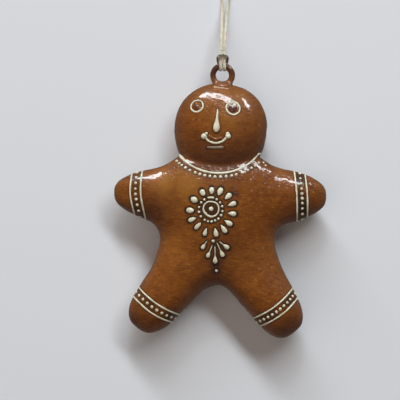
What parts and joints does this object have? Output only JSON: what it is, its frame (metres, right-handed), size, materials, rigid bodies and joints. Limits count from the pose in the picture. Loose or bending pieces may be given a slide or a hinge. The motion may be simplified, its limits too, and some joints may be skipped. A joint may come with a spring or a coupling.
{
  "type": "gingerbread man hanging ornament",
  "caption": "Puffy brown gingerbread man ornament with raised cream dots, bands and a chest flower, a ring on its head and a string loop.",
  "frame": {"origin": "bottom centre of the box of the figure with its ring, lying on its back, the string left out", "axes": "+X across the arms, to the right as one looks at the front; +Y from the feet to the head and ring; +Z out of the decorated front, up from the table"},
  "size_m": [0.0838, 0.1477, 0.0257],
  "materials": {
    "brown_lacquer": "glossy lacquer, darker in the hollows",
    "cream_paint": "raised paint, satin",
    "ring_lacquer": "glossy lacquer over wire",
    "twine": "twisted natural string, matte"
  },
  "bodies": {
    "root": {"body": "brown_lacquer", "hanging_ring": "ring_lacquer", "cord_knot": "twine", "cord": "twine"}
  },
  "joints": []
}
